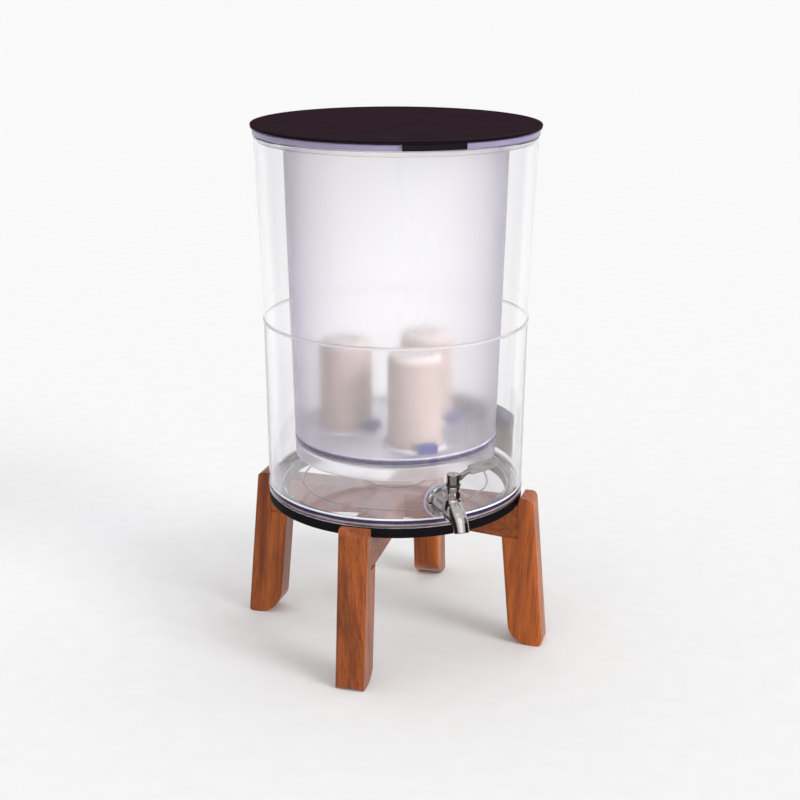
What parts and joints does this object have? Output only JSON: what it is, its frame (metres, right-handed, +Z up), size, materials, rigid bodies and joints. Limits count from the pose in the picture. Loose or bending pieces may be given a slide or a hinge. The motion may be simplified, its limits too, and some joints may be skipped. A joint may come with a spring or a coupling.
{
  "type": "countertop water dispenser",
  "caption": "Clear lower tank with a tap and a hanging frosted upper tank with filter candles, under a flat lid on a wooden stand.",
  "frame": {"origin": "on the floor under the vertical axis of the tanks", "axes": "+Z up along the axis of the tanks, -Y towards the tap at the front, +X to the right of a person facing the tap"},
  "size_m": [0.29, 0.3429, 0.5429],
  "materials": {
    "leg_wood": "satin",
    "beam_wood": "satin",
    "screw_brass": "satin",
    "ring_black": "matte",
    "clear_plastic": "gloss",
    "label_foil": "satin",
    "tap_steel": "satin",
    "soft_washer": "matte",
    "plug_plastic": "matte",
    "frosted_plastic": "matte",
    "ceramic": "matte",
    "cup_plastic": "gloss",
    "lug_blue": "gloss",
    "lid_dark": "satin",
    "lid_black": "satin"
  },
  "bodies": {
    "stand": {"leg_front_left": "leg_wood", "leg_front_right": "leg_wood", "leg_back_right": "leg_wood", "leg_back_left": "leg_wood", "lower_beam": "beam_wood", "upper_beam": "beam_wood", "leg_screws": "screw_brass", "beam_screw": "screw_brass", "support_ring": "ring_black"},
    "reservoir": {"lower_tank": "clear_plastic", "rear_label": "label_foil", "tap_body": "tap_steel", "tap_shank_nut": "tap_steel", "tap_outer_washer": "soft_washer", "tap_inner_washer": "soft_washer", "tap_bonnet": "tap_steel"},
    "tap_handle": {"tap_plug": "plug_plastic", "tap_slip_washer": "plug_plastic", "tap_lever": "tap_steel", "tap_lever_screw": "tap_steel"},
    "filter_tank": {"upper_tank": "frosted_plastic", "candle_front": "ceramic", "candle_right": "ceramic", "candle_left": "ceramic", "candle_cup_front": "cup_plastic", "candle_cup_right": "cup_plastic", "candle_cup_left": "cup_plastic", "candle_lug_front": "lug_blue", "candle_lug_right": "lug_blue", "candle_lug_left": "lug_blue", "candle_seals": "soft_washer", "candle_nuts": "cup_plastic"},
    "lid": {"lid_plate": "lid_dark", "lid_frame": "lid_black"}
  },
  "joints": [
    {"name": "reservoir_lift", "type": "slide", "parent": "stand", "child": "reservoir", "axis": [0, 0, 1], "range_m": [0, 0.06]},
    {"name": "filter_tank_lift", "type": "slide", "parent": "reservoir", "child": "filter_tank", "axis": [0, 0, 1], "range_m": [0, 0.35]},
    {"name": "lid_lift", "type": "slide", "parent": "filter_tank", "child": "lid", "axis": [0, 0, 1], "range_m": [0, 0.08]},
    {"name": "tap_turn", "type": "hinge", "parent": "reservoir", "child": "tap_handle", "pos_m": [0, -0.16665, 0.191], "axis": [0, 0, -1], "range_deg": [0, 90]}
  ]
}
